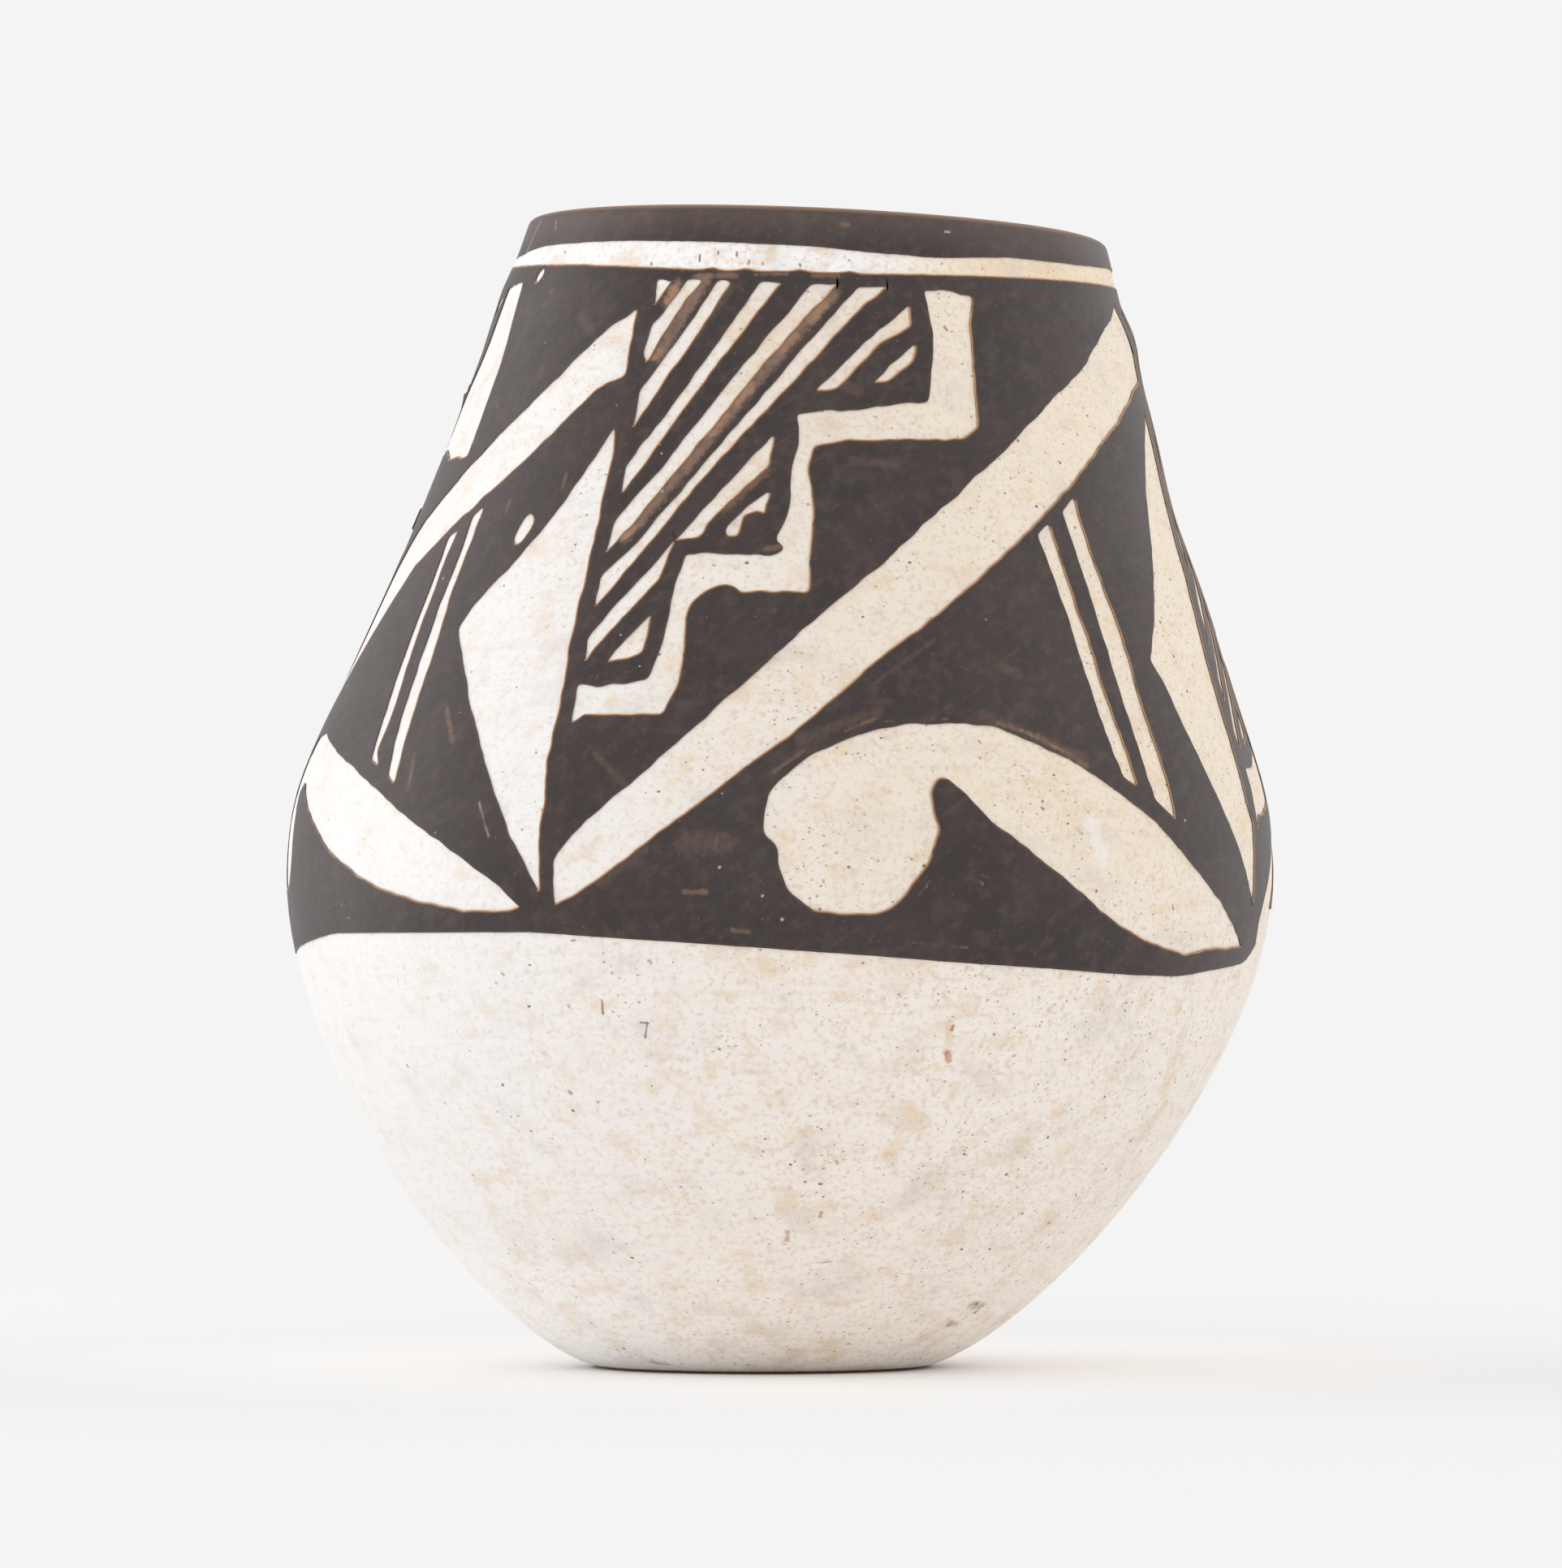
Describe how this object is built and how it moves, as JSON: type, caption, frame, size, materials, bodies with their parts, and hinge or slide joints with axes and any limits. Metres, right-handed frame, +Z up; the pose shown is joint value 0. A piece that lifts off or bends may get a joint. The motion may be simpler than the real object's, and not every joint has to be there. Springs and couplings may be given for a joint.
{
  "type": "pottery jar",
  "caption": "Small round-bodied hand-coiled pottery jar with a narrow foot, a wide open mouth, a white slip and a black painted upper half.",
  "frame": {"origin": "middle of the flat foot, on the surface that the jar stands on", "axes": "+Z is up through the mouth, the jar leans 2.6 degrees towards +X, and -Y faces the viewer"},
  "size_m": [0.0606, 0.0606, 0.0707],
  "materials": {
    "fired_clay": "unglazed fired earthenware, scraped, dull",
    "white_slip": "burnished kaolin slip, satin, with fine dark temper grains",
    "black_paint": "fired mineral paint, satin, warm black thinning to brown"
  },
  "bodies": {
    "root": {"base": "fired_clay", "wall_coil_1": "fired_clay", "wall_coil_2": "fired_clay", "wall_coil_3": "fired_clay", "wall_coil_4": "fired_clay", "wall_coil_5": "fired_clay", "wall_coil_6": "fired_clay", "wall_coil_7": "fired_clay", "wall_coil_8": "fired_clay", "wall_coil_9": "fired_clay", "wall_coil_10": "fired_clay", "rim_coil": "fired_clay", "white_slip": "white_slip", "painted_field": "black_paint", "lip_paint": "black_paint"}
  },
  "joints": []
}
